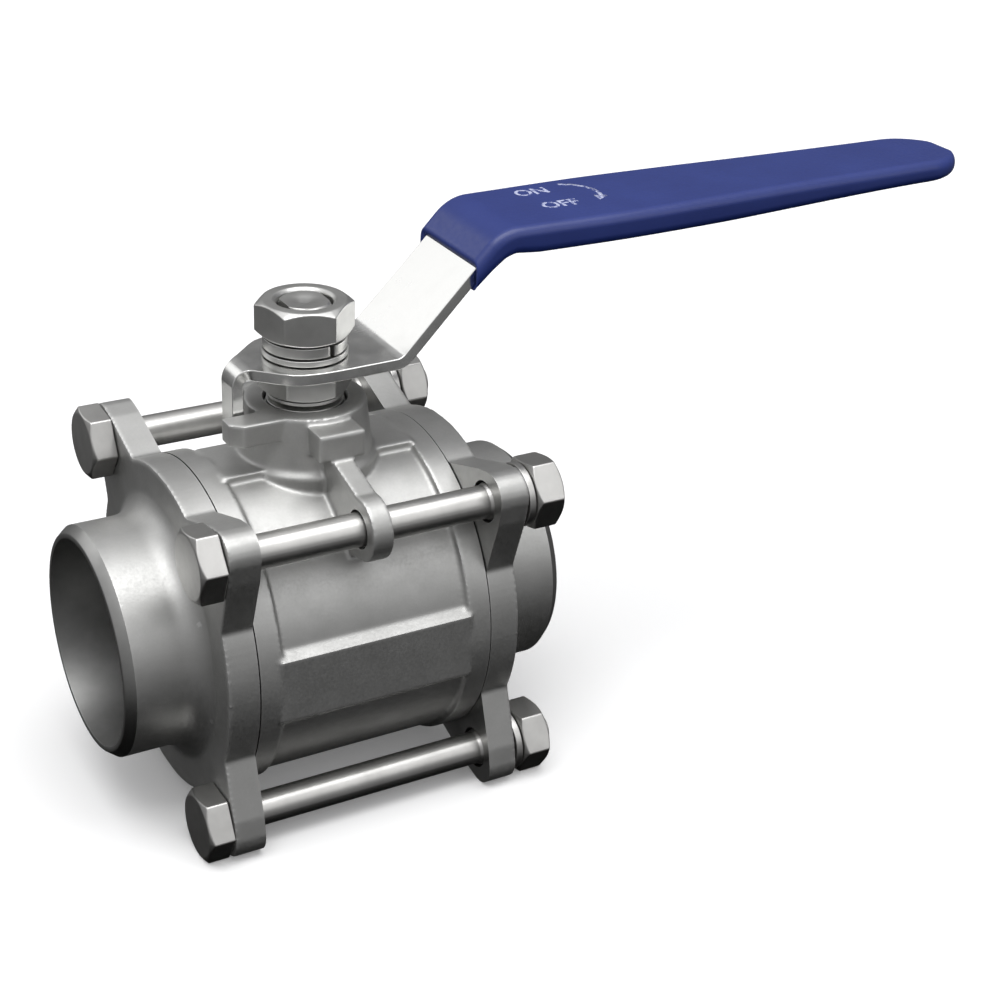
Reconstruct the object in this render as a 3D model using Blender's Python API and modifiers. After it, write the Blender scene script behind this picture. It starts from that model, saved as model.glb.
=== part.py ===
"""Three-piece ball valve with butt-weld ends and a lever, for shutting off water in a pipe.

The origin is where the pipe axis (X) crosses the stem axis (Z). The valve stands open:
the lever lies along +X and the bore of the ball is in line with the pipe.
Everything is built in metres from the dimensions below, which are given in millimetres.
"""
import math

import bmesh
import bpy
from mathutils import Matrix, Vector

MM = 0.001
NAME = "water_shutoff_valve"

# Clearance kept between pieces that touch on the real valve
GAP = 0.3

# Facets round a turned piece
BIG_STEPS = 40
SMALL_STEPS = 28
TRIM_STEPS = 24
HOLE_STEPS = 16

# Pipe ends and end caps
WELD_RADIUS = 30.15
WELD_BORE = 26.9
BEVEL_WIDTH = 1.85
BEVEL_LENGTH = 2.4
HALF_LENGTH = 61.0
PORT_RADIUS = 25.0
NECK_FILLET = 8.3
FLANGE_RADIUS = 43.5
FLANGE_OUTER = 40.3
JOINT_PLANE = 32.0
LUG_REACH = 45.7
LUG_CORNER = 6.0
SPIGOT_RADIUS = 35.3
SPIGOT_END = 27.5
SEAT_POCKET = 33.0

# Body
RING_RADIUS = 43.6
RING_WIDTH = 6.3
BARREL_RADIUS = 42.6
CAVITY_RADIUS = 37.2
GASKET_POCKET = 39.2
GASKET_DEPTH = 3.15
PAD_FACE = 43.5
PAD_HALF = 8.5
EAR_RADIUS = 8.3
EAR_HALF = 2.9
EAR_HOLE = 5.0
NECK_RADIUS = 15.5
NECK_TOP = 57.3
NECK_FOOT = (17.2, 44.0)
NECK_TOE = (18.6, 42.4)
SADDLE_HALF = 9.5
SADDLE_TOP = 43.4
LEDGE_HALF = 6.2
LEDGE_FRONT = 22.4
LEDGE_TOP = 55.8
LEDGE_BOTTOM = 48.6
TAB_CLEAR_TOP = 49.2
STOP_REACH = 24.6
STOP_BOTTOM = 51.4

# Ball and seats
BALL_RADIUS = 36.5
SLOT_FLOOR = 30.0
SLOT_HALF_WIDTH = 5.3
SLOT_HALF_LENGTH = 12.5

# Cap bolts
BOLT_SIDE = 37.0
BOLT_SHANK = 4.3
BOLT_THREAD = 4.9
BOLT_HOLE = 5.5
BOLT_FLATS = 17.0
HEAD_HEIGHT = 6.5
BOLT_WASHER = 2.0
BOLT_NUT_HEIGHT = 8.0
BOLT_PROUD = 2.3

# Stem stack, from the ball upwards
STEM_RADIUS = 7.0
STEM_HEAD_RADIUS = 10.0
STEM_HEAD_BOTTOM = 38.0
STEM_HEAD_TOP = 41.2
STEM_FLAT = 5.5
STEM_TOP = 83.0
THRUST_TOP = 42.6
CHAMBER_FLOOR = 47.5
PACKING_PITCH = 1.8
GLAND_TOP = 55.8
GLAND_NUT_FLATS = 21.0
GLAND_NUT_BOTTOM = 59.5
LEVER_NUT_FLATS = 22.0
LEVER_NUT_BOTTOM = 74.4

# Lever: centre line of a bent strip and its half width along X
STRIP = 3.0
LEVER_LEVEL = 67.5
GRIP_LEVEL = 95.9
TAIL_X = -19.7
TAIL_BOTTOM = 50.0
INCLINE_FOOT = 21.0
INCLINE_HEAD = 49.0
TIP_X = 202.0
GRIP_TIP_LENGTH = 14.0
LEVER_BENDS = (3.5, 5.0, 9.0)
LEVER_WIDTHS = (
    (TAIL_X - STRIP, 3.8), (-18.5, 3.8), (-14.3, 7.3), (-8.5, 12.4), (-3.0, 13.9),
    (4.0, 14.2), (20.0, 13.8), (40.0, 13.4), (60.0, 13.8), (85.0, 14.3),
    (110.0, 13.6), (140.0, 12.3), (TIP_X - GRIP_TIP_LENGTH, 11.0), (TIP_X, 11.0),
)
SLEEVE_START = 40.2
SLEEVE_SIDE = 2.2
SLEEVE_EDGE = 2.7
SLEEVE_WALLS = (
    # X, wall above the strip, wall below it
    (SLEEVE_START, 2.0, 0.8), (50.0, 2.0, 2.2), (60.0, 2.0, 2.9), (110.0, 2.0, 2.9),
    (TIP_X - GRIP_TIP_LENGTH, 1.8, 1.6), (TIP_X, 1.4, 1.2),
)

COLOURS = {
    "cast_steel": ((0.36, 0.36, 0.35), 0.45, 1.0),
    "bright_steel": ((0.62, 0.62, 0.60), 0.25, 1.0),
    "strip_steel": ((0.70, 0.70, 0.68), 0.22, 1.0),
    "polished_ball": ((0.75, 0.75, 0.74), 0.08, 1.0),
    "white_seal": ((0.85, 0.85, 0.82), 0.45, 0.0),
    "blue_vinyl": ((0.03, 0.05, 0.28), 0.30, 0.0),
}


# ---------------------------------------------------------------- scene and materials

def clear_scene():
    for thing in list(bpy.data.objects):
        bpy.data.objects.remove(thing, do_unlink=True)


def new_collection(name):
    group = bpy.data.collections.new(name)
    bpy.context.scene.collection.children.link(group)
    return group


def make_material(name, colour, roughness, metallic):
    material = bpy.data.materials.new(name)
    material.use_nodes = True
    shader = material.node_tree.nodes["Principled BSDF"]
    shader.inputs["Base Color"].default_value = (*colour, 1.0)
    shader.inputs["Roughness"].default_value = roughness
    shader.inputs["Metallic"].default_value = metallic
    material.diffuse_color = (*colour, 1.0)
    return material


def add_part(name, mesh, slot):
    part = bpy.data.objects.new(name, mesh)
    PARTS.objects.link(part)
    mesh.materials.append(make_material(f"{name}_{slot}", *COLOURS[slot]))
    return part


def add_tool(name, mesh):
    tool = bpy.data.objects.new(name, mesh)
    TOOLS.objects.link(tool)
    tool.hide_render = True
    tool.display_type = "WIRE"
    return tool


# ---------------------------------------------------------------- shapes

def scaled(points):
    return [Vector(point) * MM for point in points]


def profile_mesh(name, points, closed):
    """The half section of a turned shape: (radius, height) pairs, outer side downwards."""
    mesh = bpy.data.meshes.new(name)
    corners = scaled([(radius, 0.0, height) for radius, height in points])
    count = len(corners)
    edges = [(i, (i + 1) % count) for i in range(count if closed else count - 1)]
    mesh.from_pydata(corners, edges, [])
    return mesh


def turn(part, steps):
    screw = part.modifiers.new("turn", "SCREW")
    screw.axis = "Z"
    screw.steps = steps
    screw.render_steps = steps
    screw.use_merge_vertices = True
    screw.merge_threshold = 0.00001
    screw.use_smooth_shade = True
    screw.use_normal_calculate = False
    return part


def turned_part(name, points, slot, steps=SMALL_STEPS, closed=True):
    return turn(add_part(name, profile_mesh(name, points, closed), slot), steps)


def turned_tool(name, points, steps=SMALL_STEPS, closed=False):
    return turn(add_tool(name, profile_mesh(name, points, closed)), steps)


def rod(radius, bottom, top):
    """Profile of a plain cylinder about its axis."""
    return [(0.0, top), (radius, top), (radius, bottom), (0.0, bottom)]


def ring(inner, outer, bottom, top):
    """Profile of a plain ring about its axis."""
    return [(outer, top), (outer, bottom), (inner, bottom), (inner, top)]


def box_tool(name, low, high):
    mesh = bpy.data.meshes.new(name)
    cage = bmesh.new()
    bmesh.ops.create_cube(cage, size=1.0)
    size = Vector(high) - Vector(low)
    centre = (Vector(high) + Vector(low)) / 2
    place = Matrix.Translation(centre * MM) @ Matrix.Diagonal((*(size * MM), 1.0))
    bmesh.ops.transform(cage, matrix=place, verts=cage.verts)
    cage.to_mesh(mesh)
    cage.free()
    return add_tool(name, mesh)


def slab_mesh(name, outline, low, high):
    """A flat outline in (Y, Z), counter-clockwise seen from +X, given thickness along X."""
    mesh = bpy.data.meshes.new(name)
    cage = bmesh.new()
    corners = [cage.verts.new(point) for point in scaled([(low, y, z) for y, z in outline])]
    face = cage.faces.new(corners)
    grown = bmesh.ops.extrude_face_region(cage, geom=[face])
    moved = [item for item in grown["geom"] if isinstance(item, bmesh.types.BMVert)]
    bmesh.ops.translate(cage, verts=moved, vec=Vector((high - low, 0.0, 0.0)) * MM)
    bmesh.ops.recalc_face_normals(cage, faces=cage.faces)
    cage.to_mesh(mesh)
    cage.free()
    return mesh


def hex_mesh(name, across_flats, bottom, top, first_corner):
    """A hexagonal prism along Z whose first corner is at the given angle from +X."""
    radius = across_flats / math.sqrt(3.0)
    mesh = bpy.data.meshes.new(name)
    cage = bmesh.new()
    place = Matrix.Translation((0.0, 0.0, (bottom + top) / 2 * MM))
    place = place @ Matrix.Rotation(math.radians(first_corner - 90.0), 4, "Z")
    bmesh.ops.create_cone(cage, cap_ends=True, segments=6, radius1=radius * MM,
                          radius2=radius * MM, depth=(top - bottom) * MM, matrix=place)
    cage.to_mesh(mesh)
    cage.free()
    return mesh


def arc(centre, radius, start, end, steps):
    """Points on an arc, both ends included, with angles in degrees."""
    points = []
    for index in range(steps + 1):
        angle = math.radians(start + (end - start) * index / steps)
        points.append((centre[0] + radius * math.cos(angle), centre[1] + radius * math.sin(angle)))
    return points


def combine(part, tool, operation):
    step = part.modifiers.new(tool.name, "BOOLEAN")
    step.operation = operation
    step.solver = "EXACT"
    step.object = tool


def lay_along_x(thing, flip=False):
    """Turn a shape made about Z so that its top points along +X, or along -X."""
    thing.rotation_euler = (0.0, math.radians(-90.0 if flip else 90.0), 0.0)


# ---------------------------------------------------------------- end caps

def lug_outline():
    """The cap flange seen along the pipe: a disc with a square-cornered lug for each bolt."""
    foot = math.degrees(math.atan2(18.2, 39.5))
    side = (44.7, 33.6)
    centre = LUG_REACH - LUG_CORNER
    lug = [side, (LUG_REACH, centre - 0.8)]
    lug += arc((centre, centre), LUG_CORNER, 0.0, 90.0, 4)[1:-1]
    lug += [(centre - 0.8, LUG_REACH), (side[1], side[0])]
    quarter = arc((0.0, 0.0), FLANGE_RADIUS, -foot, foot, 6) + lug
    outline = []
    for turn_count in range(4):
        spin = Matrix.Rotation(math.radians(90.0 * turn_count), 2)
        outline += [tuple(spin @ Vector(point)) for point in quarter]
    return outline


def make_cap(name, sign):
    face = JOINT_PLANE + GAP / 2
    low, high = sorted((sign * face, sign * FLANGE_OUTER))
    cap = add_part(name, slab_mesh(name, lug_outline(), low, high), "cast_steel")

    land = WELD_RADIUS - BEVEL_WIDTH
    fillet = (WELD_RADIUS + NECK_FILLET, FLANGE_OUTER - 0.4 + NECK_FILLET)
    outside = [(0.0, HALF_LENGTH), (land, HALF_LENGTH),
               (WELD_RADIUS, HALF_LENGTH - BEVEL_LENGTH)]
    outside += arc(fillet, NECK_FILLET, 180.0, 270.0, 5)
    inside = [(WELD_RADIUS + NECK_FILLET, JOINT_PLANE + 2.0), (SPIGOT_RADIUS, JOINT_PLANE + 2.0),
              (SPIGOT_RADIUS, SPIGOT_END), (0.0, SPIGOT_END)]
    hub = turned_tool(f"{name}_hub", outside + inside, BIG_STEPS)
    bore = [(0.0, HALF_LENGTH + 2.0), (WELD_BORE, HALF_LENGTH + 2.0), (WELD_BORE, 39.0),
            (PORT_RADIUS, 36.0), (PORT_RADIUS, SEAT_POCKET), (SEAT_POCKET, SEAT_POCKET),
            (SEAT_POCKET, SPIGOT_END - 2.0), (0.0, SPIGOT_END - 2.0)]
    core = turned_tool(f"{name}_bore", bore, BIG_STEPS)
    for tool, operation in ((hub, "UNION"), (core, "DIFFERENCE")):
        lay_along_x(tool, sign < 0)
        combine(cap, tool, operation)

    for index, (y, z) in enumerate(BOLT_PLACES):
        drill = turned_tool(f"{name}_drill_{index}", rod(BOLT_HOLE, -5.0, 5.0), HOLE_STEPS)
        lay_along_x(drill)
        drill.location = Vector((sign * (face + FLANGE_OUTER) / 2, y, z)) * MM
        combine(cap, drill, "DIFFERENCE")
    return cap


# ---------------------------------------------------------------- body

def ear_outline(side):
    """The web from the neck to the eye round an upper bolt; side is -1 in front, 1 behind."""
    eye = arc((BOLT_SIDE, BOLT_SIDE), EAR_RADIUS, -70.0, 100.0, 10)
    outline = [(24.0, 30.0), (30.0, 27.0)] + eye + [(20.5, TAB_CLEAR_TOP), (8.0, TAB_CLEAR_TOP)]
    placed = [(side * y, z) for y, z in outline]
    return placed if side > 0 else placed[::-1]


def pad_outline(side):
    root = BARREL_RADIUS - 4.0
    shoulder = PAD_HALF + 1.6
    outline = [(root, -shoulder), (PAD_FACE - 2.0, -shoulder), (PAD_FACE, -PAD_HALF),
               (PAD_FACE, PAD_HALF), (PAD_FACE - 2.0, shoulder), (root, shoulder)]
    placed = [(side * y, z) for y, z in outline]
    return placed if side > 0 else placed[::-1]


def stop_outline():
    """Plan of a stop lug that reaches out along +Y, its stop face at +X = 4.3."""
    return [(4.3, 8.0), (11.6, 8.0), (11.6, STOP_REACH - 3.0), (9.0, STOP_REACH), (4.3, STOP_REACH)]


def make_stop(name, outline):
    mesh = slab_mesh(name, outline, STOP_BOTTOM, NECK_TOP)
    # the slab's thickness runs along X; stand it up so that it runs along Z
    mesh.transform(Matrix(((0, 1, 0, 0), (0, 0, 1, 0), (1, 0, 0, 0), (0, 0, 0, 1))))
    return add_tool(name, mesh)


def make_body():
    end = JOINT_PLANE - GAP / 2
    shoulder = JOINT_PLANE - RING_WIDTH
    half = [(0.0, end), (RING_RADIUS - 0.5, end), (RING_RADIUS, end - 0.5),
            (RING_RADIUS, shoulder + 0.4), (BARREL_RADIUS, shoulder - 0.4)]
    barrel = half + [(radius, -height) for radius, height in reversed(half)]
    body = turned_part("body", barrel, "cast_steel", BIG_STEPS, closed=False)
    lay_along_x(body)

    neck = [(0.0, NECK_TOP), (NECK_RADIUS - 0.5, NECK_TOP), (NECK_RADIUS, NECK_TOP - 0.5)]
    neck += [NECK_FOOT, NECK_TOE, (NECK_TOE[0], 34.0), (0.0, 34.0)]
    added = [turned_tool("body_neck", neck, BIG_STEPS)]
    for label, sign in (("inlet", -1), ("outlet", 1)):
        low, high = sorted((sign * 10.0, sign * (shoulder + 0.6)))
        added.append(box_tool(f"body_saddle_{label}", (low, -SADDLE_HALF, 38.0),
                              (high, SADDLE_HALF, SADDLE_TOP)))
    for label, side in (("front", -1), ("back", 1)):
        pad = slab_mesh(f"body_pad_{label}", pad_outline(side), -shoulder - 0.6, shoulder + 0.6)
        ear = slab_mesh(f"body_ear_{label}", ear_outline(side), -EAR_HALF, EAR_HALF)
        added += [add_tool(f"body_pad_{label}", pad), add_tool(f"body_ear_{label}", ear)]
    added.append(box_tool("body_ledge", (-LEDGE_HALF, -LEDGE_FRONT, LEDGE_BOTTOM),
                          (LEDGE_HALF, -8.0, LEDGE_TOP)))
    closed_stop = stop_outline()
    open_stop = [(-y, -x) for x, y in reversed(closed_stop)]
    added.append(make_stop("body_stop_closed", closed_stop))
    added.append(make_stop("body_stop_open", open_stop))
    for tool in added:
        combine(body, tool, "UNION")

    deep = JOINT_PLANE - GASKET_DEPTH
    cavity = [(0.0, 40.0), (GASKET_POCKET, 40.0), (GASKET_POCKET, deep), (CAVITY_RADIUS, deep)]
    cavity += [(radius, -height) for radius, height in reversed(cavity)]
    chamber = turned_tool("body_cavity", cavity, BIG_STEPS)
    lay_along_x(chamber)
    combine(body, chamber, "DIFFERENCE")
    stem_way = [(0.0, NECK_TOP + 2.0), (10.6, NECK_TOP + 2.0), (10.6, CHAMBER_FLOOR),
                (7.4, CHAMBER_FLOOR), (7.4, THRUST_TOP + GAP), (10.4, THRUST_TOP + GAP),
                (10.4, 30.0), (0.0, 30.0)]
    combine(body, turned_tool("body_stem_way", stem_way), "DIFFERENCE")
    for label, side in (("front", -1), ("back", 1)):
        drill = turned_tool(f"body_eye_{label}", rod(EAR_HOLE, -8.0, 8.0), HOLE_STEPS)
        lay_along_x(drill)
        drill.location = Vector((0.0, side * BOLT_SIDE, BOLT_SIDE)) * MM
        combine(body, drill, "DIFFERENCE")
    return body


# ---------------------------------------------------------------- ball, seats and seals

def make_ball():
    edge = math.degrees(math.asin(PORT_RADIUS / BALL_RADIUS))
    outer = arc((0.0, 0.0), BALL_RADIUS, 90.0 - edge, edge - 90.0, 12)
    ball = turned_part("ball", outer, "polished_ball", BIG_STEPS)
    lay_along_x(ball)
    slot = box_tool("ball_slot", (-SLOT_HALF_WIDTH, -SLOT_HALF_LENGTH, SLOT_FLOOR),
                    (SLOT_HALF_WIDTH, SLOT_HALF_LENGTH, 40.0))
    combine(ball, slot, "DIFFERENCE")
    return ball


def make_seat(name, sign):
    inner = PORT_RADIUS + GAP
    outer = SEAT_POCKET - GAP
    lip = 21.8
    cup = BALL_RADIUS + GAP
    start = math.degrees(math.asin(lip / cup))
    stop = math.degrees(math.acos(inner / cup))
    profile = [(outer, outer), (outer, lip + 1.6), (outer - 1.6, lip)]
    profile += arc((0.0, 0.0), cup, start, stop, 3) + [(inner, outer)]
    seat = turned_part(name, profile, "white_seal", BIG_STEPS)
    lay_along_x(seat, sign < 0)
    return seat


def make_gasket(name, sign):
    inner_end = JOINT_PLANE - GASKET_DEPTH + GAP
    profile = ring(SPIGOT_RADIUS + GAP, GASKET_POCKET - GAP, inner_end, JOINT_PLANE - GAP / 2)
    gasket = turned_part(name, profile, "white_seal", BIG_STEPS)
    lay_along_x(gasket, sign < 0)
    return gasket


# ---------------------------------------------------------------- bolts, nuts and washers

def chamfer_tool(name, across_flats, bottom, top, trims):
    """A turned body that trims the corners of a hexagon: trims says which ends, bottom and top."""
    corner = across_flats / math.sqrt(3.0) + 0.3
    rim = across_flats / 2 * 0.96
    drop = (corner - rim) * math.tan(math.radians(30.0))
    high = [(rim, top), (corner, top - drop)] if trims[1] else [(corner, top)]
    low = [(corner, bottom + drop), (rim, bottom)] if trims[0] else [(corner, bottom)]
    return turned_tool(name, [(0.0, top)] + high + low + [(0.0, bottom)], TRIM_STEPS)


def make_nut(name, across_flats, bottom, top, bore, first_corner=0.0):
    nut = add_part(name, hex_mesh(name, across_flats, bottom, top, first_corner), "bright_steel")
    trim = chamfer_tool(f"{name}_trim", across_flats, bottom, top, (True, True))
    hole = turned_tool(f"{name}_hole", rod(bore, bottom - 1.0, top + 1.0), HOLE_STEPS)
    combine(nut, trim, "INTERSECT")
    combine(nut, hole, "DIFFERENCE")
    return nut, trim, hole


def make_spring_washer(name, inner, outer, bottom, top, split_angle):
    washer = turned_part(name, ring(inner, outer, bottom, top), "bright_steel")
    split = box_tool(f"{name}_split", (inner - 1.0, -0.6, bottom - 0.5),
                     (outer + 1.0, 0.6, top + 0.5))
    split.data.transform(Matrix.Rotation(math.radians(split_angle), 4, "Z"))
    combine(washer, split, "DIFFERENCE")
    return washer, split


def make_bolt(tag, place, head_corner, split_angle):
    """A cap bolt along X: head beyond the inlet cap, washer and nut beyond the outlet cap."""
    seat = FLANGE_OUTER + GAP
    nut_low = seat + BOLT_WASHER + GAP
    nut_high = nut_low + BOLT_NUT_HEIGHT
    end = nut_high + BOLT_PROUD
    head = hex_mesh(f"bolt_{tag}", BOLT_FLATS, -seat - HEAD_HEIGHT, -seat, head_corner)
    bolt = add_part(f"bolt_{tag}", head, "bright_steel")
    crown = chamfer_tool(f"bolt_{tag}_crown", BOLT_FLATS, -seat - HEAD_HEIGHT, -seat,
                         (True, False))
    shank = turned_tool(f"bolt_{tag}_shank", [
        (0.0, end), (BOLT_THREAD - 0.8, end), (BOLT_THREAD, end - 0.8),
        (BOLT_THREAD, JOINT_PLANE + 1.0), (BOLT_SHANK, JOINT_PLANE),
        (BOLT_SHANK, -seat - 2.0), (0.0, -seat - 2.0)], HOLE_STEPS)
    combine(bolt, crown, "INTERSECT")
    combine(bolt, shank, "UNION")
    nut = make_nut(f"bolt_nut_{tag}", BOLT_FLATS, nut_low, nut_high, BOLT_THREAD + GAP,
                   head_corner)
    washer = make_spring_washer(f"bolt_washer_{tag}", BOLT_THREAD + GAP, 8.4, seat,
                                seat + BOLT_WASHER, split_angle)
    for thing in (bolt, crown, shank, *nut, *washer):
        lay_along_x(thing)
        thing.location = Vector((0.0, *place)) * MM


# ---------------------------------------------------------------- stem and its stack

def make_stem():
    stem = turned_part("stem", [
        (0.0, STEM_TOP), (STEM_RADIUS - 0.7, STEM_TOP), (STEM_RADIUS, STEM_TOP - 0.7),
        (STEM_RADIUS, STEM_HEAD_TOP), (STEM_HEAD_RADIUS, STEM_HEAD_TOP),
        (STEM_HEAD_RADIUS, STEM_HEAD_BOTTOM), (0.0, STEM_HEAD_BOTTOM)],
        "bright_steel", closed=False)
    tang = box_tool("stem_tang", (-SLOT_HALF_WIDTH + GAP, -8.8, SLOT_FLOOR + 0.4),
                    (SLOT_HALF_WIDTH - GAP, 8.8, STEM_HEAD_BOTTOM + 1.0))
    combine(stem, tang, "UNION")
    foot = LEVER_LEVEL - STRIP / 2 - GAP
    for label, sign in (("inlet", -1), ("outlet", 1)):
        low, high = sorted((sign * STEM_FLAT, sign * 9.0))
        flat = box_tool(f"stem_flat_{label}", (low, -9.0, foot), (high, 9.0, STEM_TOP + 2.0))
        combine(stem, flat, "DIFFERENCE")
    return stem


def make_stack():
    """The washers, packing and nuts threaded on the stem, bottom to top."""
    bore = STEM_RADIUS + GAP
    wall = 10.3
    turned_part("thrust_washer", ring(bore, 10.1, STEM_HEAD_TOP + GAP, THRUST_TOP), "white_seal")
    for index, label in enumerate(("lower", "middle", "upper")):
        foot = CHAMBER_FLOOR + GAP + PACKING_PITCH * index
        middle = (bore + wall) / 2
        turned_part(f"packing_ring_{label}", [
            (middle, foot + 2.3), (wall, foot + 1.5), (wall, foot), (middle, foot + 0.8),
            (bore, foot), (bore, foot + 1.5)], "white_seal")
    turned_part("packing_gland", ring(bore, wall, 54.0, GLAND_TOP), "bright_steel")
    lower = GLAND_TOP + GAP
    turned_part("disc_spring_lower", [(9.9, lower + 0.9), (9.9, lower), (bore, lower + 0.5),
                                      (bore, lower + 1.4)], "bright_steel")
    upper = lower + 1.4 + GAP
    turned_part("disc_spring_upper", [(9.9, upper + 1.4), (9.9, upper + 0.5), (bore, upper),
                                      (bore, upper + 0.9)], "bright_steel")
    under = LEVER_LEVEL - STRIP / 2 - GAP
    make_nut("gland_nut", GLAND_NUT_FLATS, GLAND_NUT_BOTTOM, under, bore, 44.0)
    over = LEVER_LEVEL + STRIP / 2 + GAP
    turned_part("lever_washer", ring(bore, 10.9, over, over + 1.5), "bright_steel")
    make_spring_washer("lever_spring_washer", bore, 10.6, over + 1.8, LEVER_NUT_BOTTOM - GAP,
                       285.0)
    make_nut("lever_nut", LEVER_NUT_FLATS, LEVER_NUT_BOTTOM, STEM_TOP + 0.4, bore, 42.4)


# ---------------------------------------------------------------- lever and sleeve

def half_width(x):
    """Half width of the lever strip at X, read between the stations of LEVER_WIDTHS."""
    for (x0, w0), (x1, w1) in zip(LEVER_WIDTHS, LEVER_WIDTHS[1:]):
        if x <= x1:
            return w0 + (w1 - w0) * max(x - x0, 0.0) / (x1 - x0)
    return LEVER_WIDTHS[-1][1]


def lever_path():
    """Centre line of the bent strip in (X, Z) with its direction, from tail to tip."""
    corners = [Vector(point) for point in (
        (TAIL_X, TAIL_BOTTOM), (TAIL_X, LEVER_LEVEL), (INCLINE_FOOT, LEVER_LEVEL),
        (INCLINE_HEAD, GRIP_LEVEL), (TIP_X, GRIP_LEVEL))]
    stations = []
    start = corners[0]
    for index in range(1, len(corners)):
        here = corners[index]
        way = (here - corners[index - 1]).normalized()
        if index == len(corners) - 1:
            stations += straight(start, here, way)
            break
        onward = (corners[index + 1] - here).normalized()
        bend = LEVER_BENDS[index - 1]
        turn_angle = way.angle_signed(onward)
        reach = bend * math.tan(abs(turn_angle) / 2)
        first = here - way * reach
        stations += straight(start, first, way)
        stations += bend_stations(first, way, turn_angle, bend)
        start = here + onward * reach
    return stations


def straight(start, end, way):
    """Stations along a straight run, close enough for the width to follow its outline."""
    length = (end - start).length
    count = max(1, round(length / 9.0))
    return [(start + (end - start) * index / count, way) for index in range(count + 1)]


def bend_stations(first, way, turn_angle, bend):
    """Stations between the two ends of a bend, both ends left out."""
    side = Vector((way.y, -way.x)) * math.copysign(1.0, turn_angle)
    centre = first + side * bend
    stations = []
    for index in range(1, 6):
        angle = -turn_angle * index / 6
        spin = Matrix.Rotation(angle, 2)
        stations.append((centre + spin @ (first - centre), spin @ way))
    return stations


def loft(name, sections):
    """A closed skin over sections of equal point count, flat at both ends."""
    mesh = bpy.data.meshes.new(name)
    cage = bmesh.new()
    rows = [[cage.verts.new(point * MM) for point in section] for section in sections]
    count = len(rows[0])
    for row, following in zip(rows, rows[1:]):
        for index in range(count):
            onward = (index + 1) % count
            cage.faces.new((row[index], row[onward], following[onward], following[index]))
    cage.faces.new(rows[0][::-1])
    cage.faces.new(rows[-1])
    bmesh.ops.recalc_face_normals(cage, faces=cage.faces)
    cage.to_mesh(mesh)
    cage.free()
    return mesh


def across(point, way, corners):
    """Place (Y, rise) corners in the plane square to the path."""
    up = Vector((-way.y, way.x))
    return [Vector((point.x + up.x * u, y, point.y + up.y * u)) for y, u in corners]


def strip_section(point, way, width, thick):
    """One square-cornered cross-section of the strip."""
    return across(point, way, [(width, thick), (-width, thick), (-width, -thick), (width, -thick)])


def sock_section(point, way, width, above, below):
    """One cross-section of the sleeve, with rounded corners."""
    edge = min(SLEEVE_EDGE, (above + below) / 2, width)
    corners = []
    for quarter, (sign_y, rise) in enumerate(((1, above), (-1, above), (-1, -below), (1, -below))):
        centre = (sign_y * (width - edge), rise - math.copysign(edge, rise))
        corners += arc(centre, edge, 90.0 * quarter, 90.0 * quarter + 90.0, 2)
    return across(point, way, corners)


def tip_shrink(x, tip):
    """How the strip narrows to its rounded tip: 1 before it, falling along a quarter ellipse."""
    start = tip - GRIP_TIP_LENGTH
    if x <= start:
        return 1.0
    return math.sqrt(max(0.0, 1.0 - ((x - start) / (tip - start)) ** 2))


def tip_stations(tip, level):
    """Stations bunched towards the rounded tip."""
    start = tip - GRIP_TIP_LENGTH
    reaches = [math.sin(math.radians(angle)) for angle in (15, 30, 45, 58, 70, 80, 86)]
    return [(Vector((start + GRIP_TIP_LENGTH * reach, level)), Vector((1.0, 0.0)))
            for reach in reaches]


def make_lever():
    start = TIP_X - GRIP_TIP_LENGTH
    stations = [entry for entry in lever_path() if entry[0].x < start - 1.0]
    stations.append((Vector((start, GRIP_LEVEL)), Vector((1.0, 0.0))))
    stations += tip_stations(TIP_X, GRIP_LEVEL)
    sections = [strip_section(point, way, half_width(point.x) * tip_shrink(point.x, TIP_X),
                              STRIP / 2) for point, way in stations]
    lever = add_part("lever", loft("lever", sections), "strip_steel")
    bore = turned_tool("lever_bore", rod(STEM_RADIUS + GAP, 60.0, 72.0))
    keep = box_tool("lever_keep", (-STEM_FLAT - GAP, -9.0, 58.0), (STEM_FLAT + GAP, 9.0, 74.0))
    combine(bore, keep, "INTERSECT")
    combine(lever, bore, "DIFFERENCE")
    return lever


def sleeve_walls(x):
    """Wall of the sleeve above and below the strip at X."""
    for (x0, a0, b0), (x1, a1, b1) in zip(SLEEVE_WALLS, SLEEVE_WALLS[1:]):
        if x <= x1:
            share = max(x - x0, 0.0) / (x1 - x0)
            return a0 + (a1 - a0) * share, b0 + (b1 - b0) * share
    return SLEEVE_WALLS[-1][1:]


def grip_stations(begin, tip):
    """Stations from an X on the incline to a rounded tip."""
    blunt = tip - GRIP_TIP_LENGTH
    stations = [entry for entry in lever_path() if begin < entry[0].x < blunt - 1.0]
    stations.append((Vector((blunt, GRIP_LEVEL)), Vector((1.0, 0.0))))
    return stations + tip_stations(tip, GRIP_LEVEL)


def sleeve_sections():
    """Sections of the sleeve from its upright-cut mouth on the incline to its tip."""
    tip = TIP_X + SLEEVE_SIDE
    way = Vector((INCLINE_HEAD - INCLINE_FOOT, GRIP_LEVEL - LEVER_LEVEL)).normalized()
    slope = way.y / way.x
    mouth = Vector((SLEEVE_START, LEVER_LEVEL + (SLEEVE_START - INCLINE_FOOT) * slope))
    sections = []
    for point, direction in [(mouth, way)] + grip_stations(SLEEVE_START + 3.0, tip):
        shrink = tip_shrink(point.x, tip)
        above, below = sleeve_walls(point.x)
        width = (half_width(point.x) + SLEEVE_SIDE) * shrink
        flatten = 0.5 + 0.5 * shrink
        sections.append(sock_section(point, direction, width, (STRIP / 2 + above) * flatten,
                                     (STRIP / 2 + below) * flatten))
    for corner in sections[0]:
        corner.z += (SLEEVE_START - corner.x) * slope
        corner.x = SLEEVE_START
    return sections


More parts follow.
